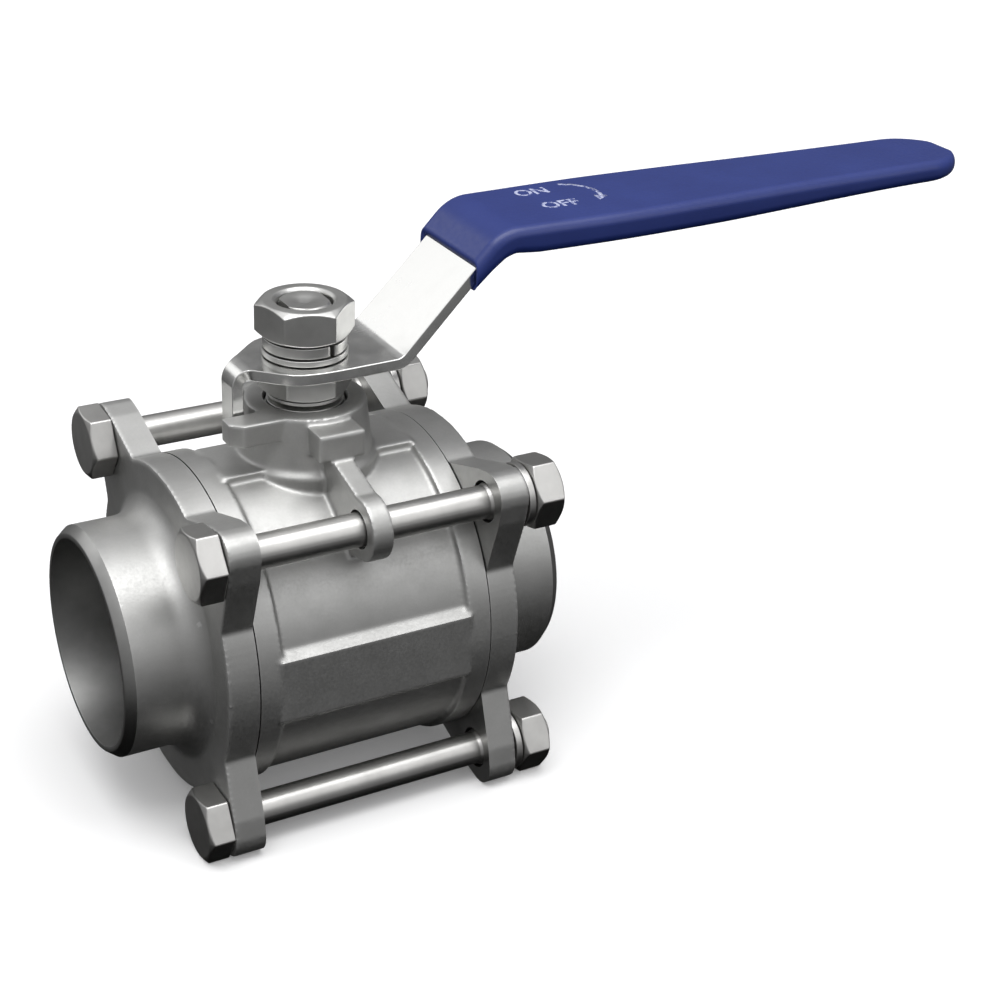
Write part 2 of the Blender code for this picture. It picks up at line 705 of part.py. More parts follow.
def make_sleeve():
    sleeve = add_part("lever_sleeve", loft("lever_sleeve", sleeve_sections()), "blue_vinyl")
    tip = TIP_X + GAP
    pocket = []
    for point, way in grip_stations(SLEEVE_START - 6.0, tip):
        width = (half_width(point.x) + GAP) * tip_shrink(point.x, tip)
        pocket.append(strip_section(point, way, width, STRIP / 2 + GAP))
    combine(sleeve, add_tool("sleeve_pocket", loft("sleeve_pocket", pocket)), "DIFFERENCE")
    return sleeve


# ---------------------------------------------------------------- assembly

clear_scene()
PARTS = new_collection(NAME)
TOOLS = new_collection("cutters")
BOLTS = (
    # label, place in (Y, Z), turn of the hexagons, angle of the washer's split
    ("front_upper", (-BOLT_SIDE, BOLT_SIDE), 82.0, 40.0),
    ("front_lower", (-BOLT_SIDE, -BOLT_SIDE), 90.0, 110.0),
    ("back_upper", (BOLT_SIDE, BOLT_SIDE), 95.0, 180.0),
    ("back_lower", (BOLT_SIDE, -BOLT_SIDE), 90.0, 250.0),
)
BOLT_PLACES = [bolt[1] for bolt in BOLTS]

make_body()
for side_name, side_sign in (("inlet", -1), ("outlet", 1)):
    make_cap(f"{side_name}_cap", side_sign)
    make_seat(f"{side_name}_seat", side_sign)
    make_gasket(f"{side_name}_gasket", side_sign)
make_ball()
make_stem()
make_stack()
make_lever()
make_sleeve()
for bolt in BOLTS:
    make_bolt(*bolt)
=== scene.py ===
"""Looks of the water shutoff valve: fine meshes, metal and vinyl finishes, studio and camera.

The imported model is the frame. Each visible sub-part gets a finely shaped piece in its place:
castings with rounded edges and machined faces, turned and hexagonal hardware, the bent lever
and its vinyl sleeve. Lengths are in millimetres until they are placed.
"""

import math

import bmesh
import bpy
from mathutils import Matrix, Vector


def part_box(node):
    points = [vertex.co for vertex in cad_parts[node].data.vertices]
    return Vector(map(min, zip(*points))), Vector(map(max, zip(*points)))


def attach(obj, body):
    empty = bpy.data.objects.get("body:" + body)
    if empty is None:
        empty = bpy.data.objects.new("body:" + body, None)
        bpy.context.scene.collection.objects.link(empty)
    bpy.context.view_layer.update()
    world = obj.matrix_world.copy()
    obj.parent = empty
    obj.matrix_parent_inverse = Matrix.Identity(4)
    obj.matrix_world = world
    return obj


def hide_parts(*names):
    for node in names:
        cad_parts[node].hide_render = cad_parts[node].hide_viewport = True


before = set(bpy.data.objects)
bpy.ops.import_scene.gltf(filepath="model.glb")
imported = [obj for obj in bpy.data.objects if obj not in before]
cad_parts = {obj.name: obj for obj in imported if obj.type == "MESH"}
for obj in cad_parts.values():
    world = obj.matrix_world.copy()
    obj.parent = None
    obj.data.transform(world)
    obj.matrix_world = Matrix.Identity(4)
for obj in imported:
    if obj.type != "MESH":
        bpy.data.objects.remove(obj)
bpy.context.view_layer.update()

MM = 0.001
BOLT_TAGS = ("front_upper", "front_lower", "back_upper", "back_lower")

# Thickness of the lever strip; where the body and a cap meet, with the gap between them
STRIP = 3.0
JOINT_PLANE = 32.0
JOINT_GAP = 0.3

# Sizes that the frame's boxes give
HALF_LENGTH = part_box("outlet_cap")[1].x / MM
BODY_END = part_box("body")[1].x / MM
CAP_FACE = 2 * JOINT_PLANE - BODY_END
LUG_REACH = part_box("inlet_cap")[1].y / MM
STEM_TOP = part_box("stem")[1].z / MM
BALL_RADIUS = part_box("ball")[1].z / MM
TIP_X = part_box("lever")[1].x / MM
GRIP_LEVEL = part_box("lever")[1].z / MM - STRIP / 2
FLOOR_Z = -LUG_REACH

# Pipe ends and caps
PIPE_RADIUS = 30.15
PIPE_BORE = 26.9
WELD_LAND = 28.3
WELD_BEVEL = 2.4
PORT_RADIUS = 25.0
PORT_END = 36.0
PORT_FLARE_END = 39.0
NECK_FILLET = 7.2
FLANGE_RADIUS = 43.5
FLANGE_OUTER = 40.3
LUG_CORNER = 6.0
LUG_HOLE = 5.5
SPIGOT_RADIUS = 35.3
SPIGOT_END = 27.5
SEAT_POCKET = 33.0

# Body
RING_WIDTH = 6.3
RING_RADIUS = 43.6
BARREL_RADIUS = 42.6
CAVITY_RADIUS = 37.2
GASKET_POCKET = 39.2
GASKET_FLOOR = 28.85
PAD_FACE = 43.5
PAD_HALF = 8.5
EAR_RADIUS = 8.3
EAR_HALF = 2.9
EAR_HOLE = 5.0
NECK_TOP = 57.3
NECK_RADIUS = 15.5
NECK_FOOT = (17.2, 44.0)
NECK_TOE = (18.6, 42.4)
SADDLE_HALF = 9.5
SADDLE_TOP = 43.4
LEDGE = ((-6.2, -22.4, 48.6), (6.2, -8.0, 55.8))
STOP_BOTTOM = 51.4
PACKING_RADIUS = 10.6
PACKING_SHELF = 47.5
STEM_HOLE = 7.4
SHOULDER_ROOM = 10.4
SHOULDER_CEILING = 42.9

# Bolts, and the stem with its stack
BOLT_SIDE = 37.0
BOLT_FLATS = 17.0
HEAD_HEIGHT = 6.5
SHANK_RADIUS = 4.3
THREAD_RADIUS = 4.9
THREAD_PITCH = 1.5
STEM_RADIUS = 7.0
WASHER_BORE = 7.3
CHAMFER_START = 0.955
CHAMFER_SLOPE = math.tan(math.radians(30.0))
HEX_TURNS = {"front_upper": 82.0, "front_lower": 90.0, "back_upper": 95.0, "back_lower": 90.0}
SPLIT_TURNS = {"front_upper": 40.0, "front_lower": 110.0, "back_upper": 180.0, "back_lower": 250.0}

# Lever strip and sleeve
LEVER_LEVEL = 67.5
TAIL_X = -19.7
TAIL_BOTTOM = 50.0
INCLINE_FOOT = 21.0
INCLINE_HEAD = 49.0
TIP_LENGTH = 14.0
LEVER_BENDS = (3.5, 5.0, 9.0)
LEVER_EDGE = 0.3
LEVER_WIDTHS = (
    (-23.0, 3.8), (-18.5, 3.8), (-14.3, 7.3), (-8.5, 12.4), (-3.0, 13.9),
    (4.0, 14.2), (20.0, 13.8), (40.0, 13.4), (60.0, 13.8), (85.0, 14.3),
    (110.0, 13.6), (140.0, 12.3), (190.0, 11.0), (206.0, 11.0),
)
SLEEVE_START = 40.2
SLEEVE_SIDE = 2.2
SLEEVE_EDGE = 2.7
SLEEVE_PLAY = 0.08
SLEEVE_WALLS = (
    # X, wall above the strip, wall below it
    (SLEEVE_START, 1.95, 0.8), (50.0, 1.95, 2.2), (60.0, 1.95, 2.85), (110.0, 1.95, 2.85),
    (TIP_X - TIP_LENGTH, 1.75, 1.55), (TIP_X, 1.4, 1.2),
)

# Casting: grid and rounding, and how far a blank runs past the faces cut on it
VOXEL = 0.5
ROUNDING_PASSES = 3
OVERRUN = 2.0

# Print on the sleeve
PRINT_SIZE = 6.2
PRINT_BOLDNESS = 0.14
PRINT_HALF_THICKNESS = 0.02


# ---------------------------------------------------------------- mesh helpers

def new_object(name, mesh):
    thing = bpy.data.objects.new(name, mesh)
    bpy.context.scene.collection.objects.link(thing)
    return thing


def finish_cage(cage, name):
    """Turn a millimetre bmesh into a mesh in metres, facing out and smooth."""
    bmesh.ops.recalc_face_normals(cage, faces=cage.faces)
    for face in cage.faces:
        face.smooth = True
    mesh = bpy.data.meshes.new(name)
    cage.to_mesh(mesh)
    cage.free()
    mesh.transform(Matrix.Scale(MM, 4))
    return mesh


def evaluated(thing, name):
    """The object's mesh with its modifiers applied."""
    graph = bpy.context.evaluated_depsgraph_get()
    mesh = bpy.data.meshes.new_from_object(thing.evaluated_get(graph))
    mesh.name = name
    return mesh


def arc(centre, radius, start, end, steps):
    """Points along an arc, with its angles in degrees."""
    points = []
    for index in range(steps + 1):
        angle = math.radians(start + (end - start) * index / steps)
        points.append((centre[0] + radius * math.cos(angle), centre[1] + radius * math.sin(angle)))
    return points


def softened(points, width, closed=False, bits=2):
    """Round each corner of a polyline over the given width, with a short curve."""
    count = len(points)
    result = []
    for index, point in enumerate(points):
        if not closed and index in (0, count - 1):
            result.append(point)
            continue
        here = Vector(point)
        before = Vector(points[index - 1])
        after = Vector(points[(index + 1) % count])
        first = here + (before - here) * min(width / max((before - here).length, 1e-6), 0.4)
        last = here + (after - here) * min(width / max((after - here).length, 1e-6), 0.4)
        for bit in range(bits + 1):
            t = bit / bits
            result.append(tuple(first * (1 - t) ** 2 + here * 2 * t * (1 - t) + last * t * t))
    return result


def lathe(cage, profile, steps, place=Matrix(), closed=False):
    """Add a turned solid. The profile is (radius, height) pairs, from axis to axis unless closed."""
    rings = []
    for radius, height in profile:
        if radius < 1e-6:
            rings.append([cage.verts.new(place @ Vector((0.0, 0.0, height)))])
            continue
        ring = []
        for index in range(steps):
            angle = 2 * math.pi * index / steps
            spot = Vector((radius * math.cos(angle), radius * math.sin(angle), height))
            ring.append(cage.verts.new(place @ spot))
        rings.append(ring)
    skin(cage, rings, closed)


def skin(cage, rings, closed=False):
    """Join rings of equal count, where a ring of one point closes the skin on the axis."""
    pairs = list(zip(rings, rings[1:]))
    if closed:
        pairs.append((rings[-1], rings[0]))
    for upper, lower in pairs:
        steps = max(len(upper), len(lower))
        for index in range(steps):
            onward = (index + 1) % steps
            if len(upper) == 1 and len(lower) == 1:
                continue
            if len(upper) == 1:
                cage.faces.new((upper[0], lower[index], lower[onward]))
            elif len(lower) == 1:
                cage.faces.new((upper[index], lower[0], upper[onward]))
            else:
                cage.faces.new((upper[index], lower[index], lower[onward], upper[onward]))


def prism(cage, outline, low, high, place=Matrix()):
    """Add an outline in its own XY plane, given height along its Z."""
    bottom = [cage.verts.new(place @ Vector((x, y, low))) for x, y in outline]
    top = [cage.verts.new(place @ Vector((x, y, high))) for x, y in outline]
    count = len(outline)
    for index in range(count):
        onward = (index + 1) % count
        cage.faces.new((bottom[index], bottom[onward], top[onward], top[index]))
    cage.faces.new(bottom[::-1])
    cage.faces.new(top)


def box_shape(cage, low, high, place=Matrix()):
    outline = [(low[0], low[1]), (high[0], low[1]), (high[0], high[1]), (low[0], high[1])]
    prism(cage, outline, low[2], high[2], place)


# The turned shape's own Z laid along +X or -X; and (Y, Z) outlines stood across the pipe
ALONG_X = Matrix.Rotation(math.radians(90.0), 4, "Y")
AGAINST_X = Matrix.Rotation(math.radians(-90.0), 4, "Y")
ACROSS_PIPE = Matrix(((0, 0, 1, 0), (1, 0, 0, 0), (0, 1, 0, 0), (0, 0, 0, 1)))


def cast_mesh(name, cage):
    """Fuse overlapping solids into one casting whose edges and corners are all rounded."""
    rough = new_object(f"{name}_rough", finish_cage(cage, name))
    fuse = rough.modifiers.new("fuse", "REMESH")
    fuse.mode = "VOXEL"
    fuse.voxel_size = VOXEL * MM
    fuse.use_smooth_shade = True
    soften = rough.modifiers.new("soften", "SMOOTH")
    soften.factor = 0.5
    soften.iterations = ROUNDING_PASSES
    mesh = evaluated(rough, name)
    bpy.data.objects.remove(rough, do_unlink=True)
    return mesh


def machined(name, blank, cuts, skin_material, cut_material):
    """Shape a blank with tools: (operation, cage) pairs. Faces a tool leaves take its material."""
    part = new_object(name, blank)
    part.data.materials.append(skin_material)
    tools = []
    for index, (operation, cage) in enumerate(cuts):
        tool = new_object(f"{name}_tool_{index}", finish_cage(cage, "tool"))
        tool.data.materials.append(cut_material)
        cut = part.modifiers.new("cut", "BOOLEAN")
        cut.operation = operation
        cut.solver = "EXACT"
        cut.material_mode = "TRANSFER"
        cut.object = tool
        tools.append(tool)
    mesh = evaluated(part, name)
    part.modifiers.clear()
    part.data = mesh
    for tool in tools:
        bpy.data.objects.remove(tool, do_unlink=True)
    mesh.shade_smooth()
    mesh.set_sharp_from_angle(angle=math.radians(32.0))
    return part


def hard_piece(name, cage, material):
    """A crisp piece with rounded edges, whose flat faces stay flat in shading."""
    part = new_object(name, finish_cage(cage, name))
    part.data.materials.append(material)
    part.modifiers.new("flats", "WEIGHTED_NORMAL")
    return part


def settle(part, body, slot, *nodes):
    """Let the piece ride on its body in place of its CAD nodes."""
    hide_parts(*nodes)
    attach(part, body)
    return part


# ---------------------------------------------------------------- materials

class Nodes:
    """A short way to write a node material around its Principled shader."""

    def __init__(self, name):
        self.material = bpy.data.materials.new(name)
        self.material.use_nodes = True
        self.tree = self.material.node_tree
        self.shader = self.tree.nodes["Principled BSDF"]
        self.place = self.tree.nodes.new("ShaderNodeTexCoord").outputs["Object"]

    def add(self, kind, **settings):
        node = self.tree.nodes.new(f"ShaderNode{kind}")
        for key, value in settings.items():
            setattr(node, key, value)
        return node

    def join(self, source, target):
        self.tree.links.new(source, target)

    def noise(self, scale, detail=3.0, stretch=(1.0, 1.0, 1.0)):
        """Noise over the object, with its scale in waves per metre."""
        node = self.add("TexNoise")
        node.inputs["Scale"].default_value = scale
        node.inputs["Detail"].default_value = detail
        node.inputs["Roughness"].default_value = 0.55
        mapping = self.add("Mapping")
        mapping.inputs["Scale"].default_value = stretch
        self.join(self.place, mapping.inputs["Vector"])
        self.join(mapping.outputs["Vector"], node.inputs["Vector"])
        return node.outputs["Fac"]

    def ramp(self, source, low, high, from_low=0.3, from_high=0.7):
        """Map a factor onto the range low to high."""
        node = self.add("MapRange")
        node.inputs["From Min"].default_value = from_low
        node.inputs["From Max"].default_value = from_high
        node.inputs["To Min"].default_value = low
        node.inputs["To Max"].default_value = high
        self.join(source, node.inputs["Value"])
        return node.outputs["Result"]

    def blend(self, factor, first, second):
        """Mix two colours; each is a tuple or a socket."""
        node = self.add("Mix", data_type="RGBA")
        self.join(factor, node.inputs["Factor"])
        for value, socket in ((first, node.inputs["A"]), (second, node.inputs["B"])):
            if isinstance(value, tuple):
                socket.default_value = (*value, 1.0)
            else:
                self.join(value, socket)
        return node.outputs["Result"]

    def bump(self, layers):
        """Stack bumps: (height, strength, depth in mm) from coarse to fine."""
        previous = None
        for height, strength, depth in layers:
            node = self.add("Bump")
            node.inputs["Strength"].default_value = strength
            node.inputs["Distance"].default_value = depth * MM
            self.join(height, node.inputs["Height"])
            if previous is not None:
                self.join(previous, node.inputs["Normal"])
            previous = node.outputs["Normal"]
        self.join(previous, self.shader.inputs["Normal"])

    def edges(self, low, high):
        """A factor from hollows (0) to sharp edges (1), where edge wear and a painted highlight go.
        """
        return self.ramp(self.add("NewGeometry").outputs["Pointiness"], 0.0, 1.0, low, high)


def cast_material():
    """Bead-blasted cast stainless: an even grey satin with a fine grain."""
    made = Nodes("cast_steel")
    made.shader.inputs["Metallic"].default_value = 1.0
    mottle = made.ramp(made.noise(130.0, 4.0), 0.0, 1.0)
    base = made.blend(mottle, (0.45, 0.45, 0.44), (0.51, 0.51, 0.50))
    # Sharp edges are painted a lighter grey: part edge wear, part a painted highlight along the
    # edges.
    worn = made.blend(made.edges(0.50, 0.58), base, (0.62, 0.62, 0.61))
    made.join(worn, made.shader.inputs["Base Color"])
    grain = made.noise(1500.0, 2.0)
    made.join(made.ramp(grain, 0.46, 0.56), made.shader.inputs["Roughness"])
    made.bump([(made.noise(220.0, 2.0), 0.08, 0.20), (grain, 0.14, 0.05)])
    return made.material


def turned_material(name, colour, roughness, stretch, scale=1.0):
    """Machined stainless with fine tool marks, which lie across the stretched axis."""
    made = Nodes(name)
    made.shader.inputs["Metallic"].default_value = 1.0
    marks = made.noise(1100.0 * scale, 2.0, stretch)
    cloud = made.noise(160.0, 3.0)
    dull = tuple(part * 0.86 for part in colour)
    made.join(made.blend(made.ramp(cloud, 0.0, 1.0), dull, colour), made.shader.inputs["Base Color"])
    made.join(made.ramp(marks, roughness - 0.01, roughness + 0.02), made.shader.inputs["Roughness"])
    made.bump([(marks, 0.012, 0.02)])
    return made.material


def strip_material():
    """Polished strip with long, light scratches and a little haze."""
    made = Nodes("strip_steel")
    made.shader.inputs["Metallic"].default_value = 1.0
    scratches = made.noise(900.0, 3.0, (0.05, 1.0, 0.05))
    haze = made.noise(120.0, 3.0)
    made.join(made.blend(made.ramp(haze, 0.0, 1.0), (0.74, 0.74, 0.725), (0.84, 0.84, 0.825)),
              made.shader.inputs["Base Color"])
    made.join(made.ramp(haze, 0.16, 0.28), made.shader.inputs["Roughness"])
    made.bump([(scratches, 0.10, 0.02)])
    return made.material


def mirror_material():
    made = Nodes("polished_ball")
    made.shader.inputs["Metallic"].default_value = 1.0
    haze = made.noise(200.0, 3.0)
    made.join(made.blend(haze, (0.72, 0.72, 0.71), (0.80, 0.80, 0.79)),
              made.shader.inputs["Base Color"])
    made.join(made.ramp(haze, 0.05, 0.11), made.shader.inputs["Roughness"])
    return made.material


def seal_material():
    """White PTFE: smooth, waxy, very slightly mottled."""
    made = Nodes("white_seal")
    mottle = made.noise(300.0, 3.0)
    made.join(made.blend(mottle, (0.80, 0.80, 0.77), (0.88, 0.88, 0.86)),
              made.shader.inputs["Base Color"])
    made.join(made.ramp(mottle, 0.34, 0.46), made.shader.inputs["Roughness"])
    made.bump([(made.noise(900.0, 2.0), 0.06, 0.03)])
    return made.material


def vinyl_material():
    """Dipped vinyl: deep blue, soft gloss, a faint orange-peel, and lighter edges that are part
    scuffing, part a painted highlight.
    """
    made = Nodes("blue_vinyl")
    made.shader.inputs["Specular IOR Level"].default_value = 0.5
    cloud = made.ramp(made.noise(60.0, 4.0), 0.0, 1.0)
    base = made.blend(cloud, (0.014, 0.028, 0.155), (0.018, 0.035, 0.180))
    # Sharp edges are painted a lighter, bluer tone: part scuffing, part a painted highlight on the
    # rounded edges.
    rubbed = made.blend(made.edges(0.50, 0.60), base, (0.024, 0.045, 0.230))
    made.join(rubbed, made.shader.inputs["Base Color"])
    speckle = made.noise(700.0, 3.0)
    made.join(made.ramp(speckle, 0.28, 0.40), made.shader.inputs["Roughness"])
    made.bump([(made.noise(110.0, 2.0), 0.08, 0.30), (speckle, 0.06, 0.03)])
    return made.material


def print_material():
    """White ink on the sleeve, thin and rubbed away in specks."""
    made = Nodes("white_ink")
    worn = made.ramp(made.noise(900.0, 4.0), 0.0, 1.0, 0.40, 0.50)
    made.join(made.blend(worn, (0.06, 0.08, 0.26), (0.42, 0.45, 0.62)),
              made.shader.inputs["Base Color"])
    made.join(made.ramp(worn, 0.35, 0.55, 0.0, 1.0), made.shader.inputs["Roughness"])
    return made.material


def floor_material():
    """A matt white sweep that glows a little away from the object, as a lit background does."""
    made = Nodes("pale_floor")
    made.join(made.blend(made.noise(3.0, 2.0), (0.86, 0.86, 0.86), (0.88, 0.88, 0.88)),
              made.shader.inputs["Base Color"])
    made.shader.inputs["Roughness"].default_value = 0.9
    made.shader.inputs["Specular IOR Level"].default_value = 0.1
    away = made.add("VectorMath", operation="LENGTH")
    made.join(made.place, away.inputs[0])
    made.shader.inputs["Emission Color"].default_value = (1.0, 1.0, 1.0, 1.0)
    made.join(made.ramp(away.outputs["Value"], 0.12, 0.7, 0.25, 1.4),
              made.shader.inputs["Emission Strength"])
    return made.material


# ---------------------------------------------------------------- end caps

def lug_outline():
    """The flange seen along the pipe: a disc with a square-cornered lug for each bolt."""
    foot = math.degrees(math.atan2(18.2, 39.5))
    centre = LUG_REACH - LUG_CORNER
    lug = [(44.7, 33.6), (LUG_REACH, centre - 0.8)]
    lug += arc((centre, centre), LUG_CORNER, 0.0, 90.0, 10)[1:-1]
    lug += [(centre - 0.8, LUG_REACH), (33.6, 44.7)]
    quarter = arc((0.0, 0.0), FLANGE_RADIUS, -foot, foot, 20) + lug
    outline = []
    for quarter_turn in range(4):
        spin = Matrix.Rotation(math.radians(90.0 * quarter_turn), 2)
        outline += [tuple(spin @ Vector(point)) for point in quarter]
    return outline


def drill(cage, radius, place):
    """Add a drill that is centred on the place and clears a lug or an ear at both ends."""
    lathe(cage, [(0.0, 8.0), (radius, 8.0), (radius, -8.0), (0.0, -8.0)], 48, place)


def make_cap(name, sign):
    """An end cap; sign is -1 for the inlet and 1 for the outlet."""
    blank = bmesh.new()
    low, high = sorted((sign * (CAP_FACE - OVERRUN), sign * FLANGE_OUTER))
    prism(blank, lug_outline(), low, high, ACROSS_PIPE)
    fillet = (PIPE_RADIUS + NECK_FILLET, FLANGE_OUTER - 0.4 + NECK_FILLET)
    spigot = SPIGOT_RADIUS + 1.2
    hub = [(0.0, HALF_LENGTH + 3.0), (PIPE_RADIUS, HALF_LENGTH + 3.0)]
    hub += arc(fillet, NECK_FILLET, 180.0, 270.0, 12)
    hub += [(PIPE_RADIUS + NECK_FILLET, CAP_FACE), (spigot, CAP_FACE),
            (spigot, SPIGOT_END - OVERRUN), (0.0, SPIGOT_END - OVERRUN)]
    way = ALONG_X if sign > 0 else AGAINST_X
    lathe(blank, hub, 160, way)
    cast = cast_mesh(name, blank)

    slope = WELD_BEVEL / (PIPE_RADIUS - WELD_LAND)
    reach = 36.0
    clear = 90.0
    envelope = [
        (PIPE_BORE, HALF_LENGTH), (WELD_LAND, HALF_LENGTH),
        (reach, HALF_LENGTH - (reach - WELD_LAND) * slope), (60.0, 47.0), (clear, 47.0),
        (clear, CAP_FACE), (SPIGOT_RADIUS, CAP_FACE), (SPIGOT_RADIUS, SPIGOT_END),
        (SEAT_POCKET, SPIGOT_END), (SEAT_POCKET, SEAT_POCKET), (PORT_RADIUS, SEAT_POCKET),
        (PORT_RADIUS, PORT_END), (PIPE_BORE, PORT_FLARE_END)]
    turned = bmesh.new()
    lathe(turned, softened(envelope, 0.25, closed=True), 160, way, closed=True)
    drills = bmesh.new()
    lug_middle = 36.0
    for y in (-BOLT_SIDE, BOLT_SIDE):
        for z in (-BOLT_SIDE, BOLT_SIDE):
            place = Matrix.Translation((sign * lug_middle, y, z)) @ ALONG_X
            drill(drills, LUG_HOLE, place)
    cap = machined(name, cast, [("INTERSECT", turned), ("DIFFERENCE", drills)], CAST, MACHINED)
    # The bore faces get a grey darker than the cast skin: painted shade inside the pipe.
    cap.data.materials.append(BORE_PAINTED_SHADE)
    for face in cap.data.polygons:
        if math.hypot(face.center.y, face.center.z) < (PIPE_BORE + 0.1) * MM:
            face.material_index = len(cap.data.materials) - 1
    settle(cap, "housing", "cast_steel", name.replace("_casting", ""))


# ---------------------------------------------------------------- body

def ear_outline(side):
    """The web and eye round an upper bolt, seen along the pipe."""
    eye = arc((BOLT_SIDE, BOLT_SIDE), EAR_RADIUS, -70.0, 100.0, 24)
    outline = [(24.0, 30.0), (30.0, 27.0)] + eye + [(20.5, 49.2), (8.0, 49.2)]
    return [(side * y, z) for y, z in outline]


def pad_outline(side):
    """The flat pad on the front or back of the barrel, seen along the pipe."""
    root = BARREL_RADIUS - 4.0
    shoulder = PAD_HALF + 1.6
    brow = PAD_FACE - 2.0
    outline = [(root, -shoulder), (brow, -shoulder), (PAD_FACE, -PAD_HALF),
               (PAD_FACE, PAD_HALF), (brow, shoulder), (root, shoulder)]
    return [(side * y, z) for y, z in outline]


def stop_outline():
    """Plan of the stop lug that reaches out along +Y, its stop face at +X = 4.3."""
    return [(4.3, 8.0), (11.6, 8.0), (11.6, 21.6), (9.0, 24.6), (4.3, 24.6)]


def mirrored(half):
    """A (radius, height) profile that goes on as its own mirror image below height 0."""
    return half + [(radius, -height) for radius, height in reversed(half)]


def make_body():
    blank = bmesh.new()
    shoulder = BODY_END + JOINT_GAP / 2 - RING_WIDTH
    half = [(0.0, BODY_END + 1.5), (RING_RADIUS, BODY_END + 1.5), (RING_RADIUS, shoulder),
            (BARREL_RADIUS - 0.3, shoulder)]
    lathe(blank, mirrored(half), 200, ALONG_X)
    root = 38.0
    neck = [(0.0, NECK_TOP), (NECK_RADIUS, NECK_TOP), NECK_FOOT, NECK_TOE, (NECK_TOE[0], root),
            (0.0, root)]
    lathe(blank, neck, 120)
    into_ring = shoulder + 0.6
    for low, high in ((-into_ring, -10.0), (10.0, into_ring)):
        box_shape(blank, (low, -SADDLE_HALF, root), (high, SADDLE_HALF, SADDLE_TOP))
    for side in (-1, 1):
        prism(blank, pad_outline(side), -into_ring, into_ring, ACROSS_PIPE)
        prism(blank, ear_outline(side), -EAR_HALF, EAR_HALF, ACROSS_PIPE)
    box_shape(blank, *LEDGE)
    closed_stop = stop_outline()
    prism(blank, closed_stop, STOP_BOTTOM, NECK_TOP)
    prism(blank, [(-y, -x) for x, y in closed_stop], STOP_BOTTOM, NECK_TOP)
    cast = cast_mesh("body_casting", blank)

    cavity = [(0.0, 60.0), (70.0, 60.0), (70.0, BODY_END), (GASKET_POCKET, BODY_END),
              (GASKET_POCKET, GASKET_FLOOR), (CAVITY_RADIUS, GASKET_FLOOR)]
    inside = bmesh.new()
    lathe(inside, mirrored(cavity), 160, ALONG_X)
    rim = PACKING_RADIUS + 0.3
    stem_way = bmesh.new()
    lathe(stem_way, [
        (0.0, 60.0), (rim, 60.0), (rim, NECK_TOP), (PACKING_RADIUS, NECK_TOP - 0.4),
        (PACKING_RADIUS, PACKING_SHELF), (STEM_HOLE, PACKING_SHELF),
        (STEM_HOLE, SHOULDER_CEILING), (SHOULDER_ROOM, SHOULDER_CEILING),
        (SHOULDER_ROOM, 30.0), (0.0, 30.0)], 96)
    for side in (-1, 1):
        place = Matrix.Translation((0.0, side * BOLT_SIDE, BOLT_SIDE)) @ ALONG_X
        drill(stem_way, EAR_HOLE, place)
    body = machined("body_casting", cast, [("DIFFERENCE", inside), ("DIFFERENCE", stem_way)],
                    CAST, MACHINED)
    settle(body, "housing", "cast_steel", "body")


# ---------------------------------------------------------------- hexagons, bolts and washers

def hex_rim(flats, first_corner):
    """Polar outline (angle, radius) of a hexagon with slightly rounded corners."""
    corner_radius = 0.7
    apothem = flats / 2
    reach = (apothem - corner_radius) / math.cos(math.radians(30.0))
    rim = []
    for side in range(6):
        corner = math.radians(first_corner + 60.0 * side)
        centre = Vector((reach * math.cos(corner), reach * math.sin(corner)))
        for index in range(5):
            angle = corner + math.radians(-30.0 + 15.0 * index)
            spot = centre + Vector((math.cos(angle), math.sin(angle))) * corner_radius
            rim.append((math.atan2(spot.y, spot.x), spot.length))
        middle = corner + math.radians(30.0)
        for index in range(1, 8):
            offset = (index / 8 - 0.5) * 2
            slide = math.tan(math.radians(30.0)) * (apothem - corner_radius) * offset
            spot = Vector((apothem, slide))
            spot.rotate(Matrix.Rotation(middle, 2))
            rim.append((math.atan2(spot.y, spot.x), spot.length))
    return rim


def even_ring(rim, radius, height):
    return [(radius, height)] * len(rim)


def hex_rings(rim, flats, low, high, chamfer_high=True):
    """Rings down the outside of a hexagon, turned to a chamfer at its low end or at both."""
    edge = flats / 2 * CHAMFER_START
    rings = []
    if chamfer_high:
        rings.append(even_ring(rim, edge, high))
        rings.append([(r, high - (r - edge) * CHAMFER_SLOPE) for _, r in rim])
    else:
        rings.append([(r, high) for _, r in rim])
    rings.append([(r, low + (r - edge) * CHAMFER_SLOPE) for _, r in rim])
    rings.append(even_ring(rim, edge, low))
    return rings


def soft_rings(rings, width, closed=False):
    """Round the corner at each ring of a loft, angle by angle."""
    columns = [softened(list(column), width, closed) for column in zip(*rings)]
    return [list(ring) for ring in zip(*columns)]


def polar_points(cage, rim, rings):
    """Points of the rings of (radius, height) per angle; a ring on the axis is one point."""
    made = []
    for ring in rings:
        if ring[0][0] < 1e-6:
            made.append([cage.verts.new((0.0, 0.0, ring[0][1]))])
            continue
        made.append([cage.verts.new((r * math.cos(a), r * math.sin(a), h))
                     for (a, _), (r, h) in zip(rim, ring)])
    return made


def thread_rings(rim, low, high, radius):
    """Rings of a helical thread with a chamfered end."""
    rings = []
    rows = round((high - low) / THREAD_PITCH * 10)
    depth = THREAD_PITCH * 0.55
    for row in range(rows + 1):
        height = low + (high - low) * row / rows
        ring = []
        for angle, _ in rim:
            phase = (height / THREAD_PITCH - angle / (2 * math.pi)) % 1.0
            cut = depth * (1.0 - min(1.0, abs(phase - 0.5) * 2.4)) ** 0.9
            fade = min(1.0, (height - low) / THREAD_PITCH)
            limit = radius - max(0.0, height - (high - 0.9))
            ring.append((min(radius - cut * fade, limit), height))
        rings.append(ring)
    return rings


